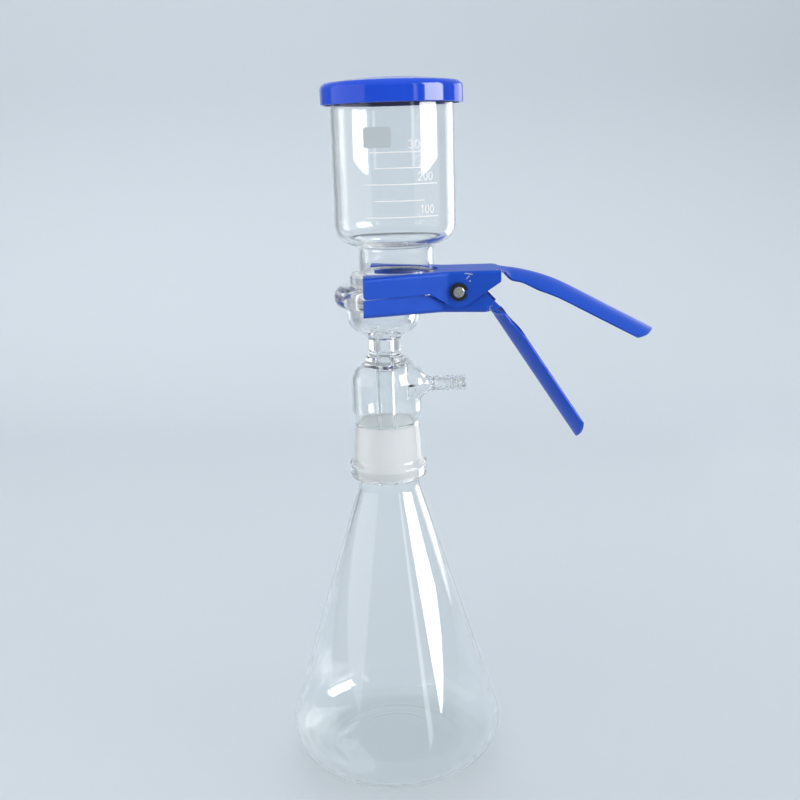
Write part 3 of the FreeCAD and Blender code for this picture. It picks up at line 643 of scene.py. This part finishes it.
def ribbon(path, width):
    """Both edges of a band along a path: each point goes half a width each way along the normal
    that bisects its corner, lengthened by one over the cosine of half the turn."""
    d = np.diff(path, axis=0)
    n = np.stack([-d[:, 1], d[:, 0]], 1) / np.linalg.norm(d, axis=1)[:, None]
    both = np.concatenate([n[:1], n[:-1] + n[1:], n[-1:]])
    both /= np.linalg.norm(both, axis=1)[:, None]
    near = np.concatenate([n[:1], n])
    side = both * width / 2 / np.sum(both * near, axis=1)[:, None]
    return np.concatenate([path - side, path + side])


def number(text, x0, x1, z0, z1):
    """A number that fills x0 to x1, seen from the front, and z0 to z1 on the cup."""
    x0, x1 = round_cup(x0), round_cup(x1)
    verts, faces = [], []
    for i, digit in enumerate(text):
        path = (DIGITS[digit] + [i * CELL_W, 0]) * [(x1 - x0) / (CELL_W * len(text)), z1 - z0]
        faces.append(grid_faces(2, len(path)) + sum(len(v) for v in verts))
        verts.append(ribbon(path, STROKE))
    x, z = np.concatenate(verts).T
    return bent(f"number_{text}", x0 + x, z0 + z, np.concatenate(faces))


number("300", 8.4, 19.0, 396.9, 401.8)
number("200", 13.6, 22.6, 378.9, 383.8)
number("100", 14.6, 22.9, 360.3, 365.2)

# %% [markdown]
# ## The clamp
#
# Two levers are pressed from 1.5 mm sheet and lacquered deep blue, with bare metal where the
# lacquer is chipped or scratched and where the sheet was sheared after painting. Their CAD shapes
# are right, so they stay and only get their finish. Each bare mark is an ellipsoid set in place,
# because a painted map would need an image.
# %% Lacquer
MARKS = [  # centre and half sizes in mm, and a turn about Y in degrees
    ((26.5, -24.0, 311.8), (1.8, 2.0, 0.7), 0),  # chip where the jaws' edges knock together
    ((52.0, -19.5, 323.0), (3.1, 1.2, 0.4), 8), ((51.5, -19.5, 321.3), (2.3, 1.2, 0.32), -45),
    ((52.4, -19.5, 318.6), (0.6, 1.0, 0.6), 0),  # a scratch over the pin
    *[((71.2, side * 15.1, 322.0), (2.5, 2.5, 9.0), 0) for side in (-1, 1)],
    *[((64.4, side * 15.1, 300.0), (2.5, 2.5, 7.0), 0) for side in (-1, 1)],  # sheared notches
]


def nearest_mark(tree, place):
    """Distance to the nearest mark: the place, moved and turned to the mark's centre and divided
    by its half sizes, has a length under 1 inside it."""
    nearest = None
    for centre, half, turn in MARKS:
        at = add(tree, "ShaderNodeMapping", {"vector_type": "TEXTURE"},
                 Vector=place.outputs["Object"], Location=[c * MM for c in centre],
                 Rotation=(0, np.radians(turn), 0), Scale=[h * MM for h in half])
        far = add(tree, "ShaderNodeVectorMath", {"operation": "LENGTH"}, _0=at.outputs[0])
        nearest = far.outputs["Value"] if nearest is None else add(
            tree, "ShaderNodeMath", {"operation": "MINIMUM"}, _0=nearest,
            _1=far.outputs["Value"]).outputs[0]
    return nearest


def lacquer():
    """Baked lacquer on pressed sheet: orange peel in the gloss, and bare metal at the marks.

    Twice the peel's noise added to the distance from the nearest mark frays that mark's edge.
    """
    m, tree, out = blank("lacquered_sheet_blue")
    place = add(tree, "ShaderNodeTexCoord")
    peel = add(tree, "ShaderNodeTexNoise", Vector=place.outputs["Object"], Scale=1 / (0.9 * MM),
               Detail=2.0)
    cloud = add(tree, "ShaderNodeTexNoise", Vector=place.outputs["Object"], Scale=1 / (14 * MM),
                Detail=3.0)
    paint = add(tree, "ShaderNodeMix", {"data_type": "RGBA"}, _0=cloud.outputs[0],
                _6=colour("#0a43b4"), _7=colour("#0f4fc4"))
    frayed = add(tree, "ShaderNodeMath", {"operation": "MULTIPLY_ADD"}, _0=peel.outputs[0],
                 _1=2.0, _2=nearest_mark(tree, place))
    bare = add(tree, "ShaderNodeMapRange", Value=frayed.outputs[0], From_Min=1.8, From_Max=1.95,
               To_Min=1.0, To_Max=0.0)
    shade = add(tree, "ShaderNodeMix", {"data_type": "RGBA"}, _0=bare.outputs[0],
                _6=paint.outputs[2], _7=colour("#c9ccd0"))
    bump = add(tree, "ShaderNodeBump", Height=peel.outputs[0], Strength=0.25, Distance=0.06 * MM)
    body = add(tree, "ShaderNodeBsdfPrincipled", Base_Color=shade.outputs[2], Roughness=0.42,
               Metallic=bare.outputs[0], Normal=bump.outputs[0])
    tree.links.new(body.outputs[0], out.inputs["Surface"])
    return m


def finish(node_name, material):
    """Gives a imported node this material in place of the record's plain one."""
    mesh = nodes[node_name].data
    mesh.materials.clear()
    mesh.materials.append(material)
    print(node_name, "has", material.name)


blue_lacquer = lacquer()
finish("upper_jaw", blue_lacquer)
finish("lower_jaw", blue_lacquer)

# %% [markdown]
# The pin is turned steel, dull from handling, with a mottle 1 mm across. Its retaining rings are
# spring steel under black oxide, which hides the metal, so they aren't metallic. The spring gets
# the same black, which is partly painted shade: it stands for the shadow between the jaws' ears.
# %% Steel
def steel(name, dark, light, roughness, mottle_mm, metallic):
    """Steel with a mottle between two colours, which also dents the surface a little."""
    m, tree, out = blank(name)
    place = add(tree, "ShaderNodeTexCoord")
    mottle = add(tree, "ShaderNodeTexNoise", Vector=place.outputs["Object"],
                 Scale=1 / (mottle_mm * MM), Detail=4.0)
    shade = add(tree, "ShaderNodeMix", {"data_type": "RGBA"}, _0=mottle.outputs[0],
                _6=colour(dark), _7=colour(light))
    bump = add(tree, "ShaderNodeBump", Height=mottle.outputs[0], Strength=0.2, Distance=0.05 * MM)
    body = add(tree, "ShaderNodeBsdfPrincipled", Base_Color=shade.outputs[2], Metallic=metallic,
               Roughness=roughness, Normal=bump.outputs[0])
    tree.links.new(body.outputs[0], out.inputs["Surface"])
    return m


finish("pivot_pin", steel("turned_steel", "#4e4c49", "#efede6", 0.38, 1.0, 1.0))
black_oxide_and_painted_shade = steel("blackened_steel_and_painted_shade", "#0b0b0d", "#1c1c20", 0.4, 0.8, 0.0)
# the clips' black is their oxide; on the spring it is partly painted shade, for the shadow
# between the ears
for name in ("front_clip", "rear_clip", "torsion_spring"):
    finish(name, black_oxide_and_painted_shade)

# %% [markdown]
# ## The stage
#
# A pale sheet curves up behind the unit, as in a studio. Rays that come through glass find the
# sheet's sides darker, which draws the edges of the glass, as black cards beside it would. A
# Light Path node does that without a card that could get into view.
# %% Stage
def sheet_backdrop():
    """Profile carried along X: flat floor, a quarter circle of 0.5 m, then a wall."""
    t = np.linspace(0, np.pi / 2, 24)
    y = np.concatenate([[-2.5, -0.5, 0.8], 0.8 + 0.5 * np.sin(t)[1:], [1.3]])
    z = np.concatenate([[0, 0, 0], 0.5 - 0.5 * np.cos(t)[1:], [3.0]])
    x = np.linspace(-0.85, 0.85, 13)
    verts = np.stack(np.broadcast_arrays(x, y[:, None], z[:, None]), -1)
    m, tree, out = blank("pale_paper")
    place = add(tree, "ShaderNodeTexCoord")
    axes = add(tree, "ShaderNodeSeparateXYZ", Vector=place.outputs["Object"])
    side = add(tree, "ShaderNodeMath", {"operation": "ABSOLUTE"}, _0=axes.outputs["X"])
    wing = add(tree, "ShaderNodeMapRange", Value=side.outputs[0], From_Min=0.3, From_Max=0.55,
               To_Min=0.0, To_Max=0.45)
    path = add(tree, "ShaderNodeLightPath")
    bent_ray = add(tree, "ShaderNodeMath", {"operation": "MULTIPLY"},
                   _0=path.outputs["Is Transmission Ray"], _1=wing.outputs[0])
    shade = add(tree, "ShaderNodeMix", {"data_type": "RGBA"}, _0=bent_ray.outputs[0],
                _6=colour("#ccd5dd"), _7=colour("#20262c"))
    body = add(tree, "ShaderNodeBsdfPrincipled", Base_Color=shade.outputs[2], Roughness=0.8)
    tree.links.new(body.outputs[0], out.inputs["Surface"])
    made = piece("backdrop", verts.reshape(-1, 3), grid_faces(len(y), len(x)), [m])


sheet_backdrop()

# %% [markdown]
# ## Lamps and their reflections
#
# A window stands far off to the front right, a wide panel on the left and one behind on the
# right, with a soft lamp overhead and one beside the camera. The lamps light matt surfaces and
# nothing sees them. What shines in the gloss and through the glass is a set of glowing cards: the
# window's draws the long highlights down the glass, with a narrow pane beside it, and the others
# its pale bands. One lamp could do both, but then a matt face behind glass would lose the light
# that only a bent ray could find.
# %% Lamps
def upright(azimuth, distance, low, high, roll=0.0):
    """The place of a panel that stands round the unit and faces it: azimuth is in degrees to the
    right of the way to the camera, the rest in metres, and roll turns it about its aim."""
    a = np.radians(azimuth)
    place = Vector((distance * np.sin(a), -distance * np.cos(a), (low + high) / 2))
    aim = Vector((-place.x, -place.y, 0)).to_track_quat("-Z", "Y").to_matrix().to_4x4()
    return Matrix.Translation(place) @ aim @ Matrix.Rotation(np.radians(roll), 4, "Z")


def lamp(name, place, width, height, radiance):
    """An area lamp of width by height, whose power is radiance times pi times its area."""
    data = bpy.data.lights.new(name, "AREA")
    data.shape, data.size, data.size_y = "RECTANGLE", width, height
    data.energy = radiance * np.pi * width * height
    # every matt surface samples the lamp itself, so glass in between takes nothing away
    data.cycles.use_multiple_importance_sampling = False
    obj = bpy.data.objects.new(name, data)
    bpy.context.scene.collection.objects.link(obj)
    obj.matrix_world = place
    obj.visible_camera = obj.visible_glossy = obj.visible_transmission = False
    print(f"{name}: {data.energy:.0f} W")


window = upright(71, 12, 0.07, 7.67, 1.5)
left_panel, rear_panel = upright(-76, 2.4, 0.1, 2.0), upright(130, 2.4, 0.1, 1.9)
lamp("window", window, 7.6, 7.6, 6.6)
lamp("left_panel", left_panel, 3.2, 1.9, 1.5)
lamp("rear_panel", rear_panel, 1.5, 1.8, 1.8)
lamp("fill", upright(-38, 2.4, 0.5, 1.8), 1.3, 1.3, 4.4)
lamp("overhead", Matrix.Translation((-0.2, -0.2, 2.2)), 3.0, 3.0, 1.25)

# %% Cards
SQUARE = np.array([[-1, -1, 0], [1, -1, 0], [1, 1, 0], [-1, 1, 0]])


def card(name, place, width, height, radiance):
    """A glowing card that only reflections, and rays that come through glass, can see."""
    m, tree, out = blank(name)
    glow = add(tree, "ShaderNodeEmission", Color=(1, 1, 1, 1), Strength=radiance)
    tree.links.new(glow.outputs[0], out.inputs["Surface"])
    m.cycles.emission_sampling = "NONE"
    corners = SQUARE * [width / 2, height / 2, 0]
    verts = corners @ np.array(place.to_3x3()).T + np.array(place.translation)
    made = piece(name, verts, np.array([[0, 1, 2, 3]]), [m])
    made.visible_camera = made.visible_diffuse = made.visible_shadow = False


card("window_card", window, 7.6, 7.6, 12.0)
card("pane_card", upright(37.5, 12, 0.07, 7.67, 1.5), 1.2, 7.6, 2.5)
card("left_card", left_panel, 3.2, 1.9, 1.2)
card("rear_card", upright(132, 0.75, 0.0, 0.62), 0.42, 0.62, 2.2)

# %% [markdown]
# ## The room
#
# Beyond the sheet the camera sees the same pale colour, while gloss mirrors a dimmer room with a
# lighter ceiling, and a ray that comes through glass finds something between the two. Matt
# surfaces take no light from the room, because those under glass couldn't find it through the
# glass.
# %% Surroundings
world = bpy.data.worlds.new("studio")
bpy.context.scene.world = world
world.use_nodes = True
tree = world.node_tree
tree.nodes.clear()
place = add(tree, "ShaderNodeTexCoord")
axes = add(tree, "ShaderNodeSeparateXYZ", Vector=place.outputs["Generated"])
ceiling = add(tree, "ShaderNodeMapRange", Value=axes.outputs["Z"], From_Min=0.15, From_Max=0.6,
              To_Min=0.34, To_Max=0.75)
room = add(tree, "ShaderNodeBackground", Color=colour("#dfe6ec"), Strength=ceiling.outputs[0])
pale = add(tree, "ShaderNodeBackground", Color=colour("#ccd5dd"), Strength=1.0)
path = add(tree, "ShaderNodeLightPath")
through = add(tree, "ShaderNodeMath", {"operation": "MULTIPLY_ADD"},
              _0=path.outputs["Is Transmission Ray"], _1=0.5, _2=path.outputs["Is Camera Ray"])
seen = add(tree, "ShaderNodeMixShader", _0=through.outputs[0], _1=room.outputs[0],
           _2=pale.outputs[0])
add(tree, "ShaderNodeOutputWorld", Surface=seen.outputs[0])
world.cycles_visibility.diffuse = False
print("world:", len(tree.nodes), "nodes")

# %% [markdown]
# A ray through cup, drip tube and chamber meets more than the usual twelve surfaces, and inside a
# thick edge it is mirrored many times, which counts as glossy. A ray that is cut short is black,
# so the limits go up. Caustics are off, because lamps already shine through the glass unbent and
# its focused light would count twice.
# %% Limits of light paths
cycles = bpy.context.scene.cycles
cycles.max_bounces = cycles.transmission_bounces = cycles.glossy_bounces = 40
cycles.transparent_max_bounces = 16
cycles.caustics_reflective = cycles.caustics_refractive = False
print("a path may meet", cycles.max_bounces, "surfaces")

# %% [markdown]
# ## Camera
#
# The camera stands 0.64 m in front, a little under the lid, and looks down by 14 degrees. It is
# turned by under 2 degrees about its aim, as a camera held by hand is. Its place is written as a
# matrix, because a tracking constraint would keep the horizon level.
# %% Camera
PLACE, LENS, DOWN, ROLL = (0.0085, -0.640, 0.4019), 46.8, 14.05, -1.65  # metres, mm, degrees
data = bpy.data.cameras.new("camera")
data.lens, data.sensor_width = LENS, 36.0
camera = bpy.data.objects.new("camera", data)
bpy.context.scene.collection.objects.link(camera)
tilt = Euler((np.radians(90 - DOWN), 0, 0)).to_matrix().to_4x4()
roll = Matrix.Rotation(np.radians(ROLL), 4, "Z")
camera.matrix_world = Matrix.Translation(PLACE) @ tilt @ roll
bpy.context.scene.camera = camera
bpy.context.scene.view_settings.view_transform = "Standard"
print("camera at", [round(v, 3) for v in camera.matrix_world.translation], "m")
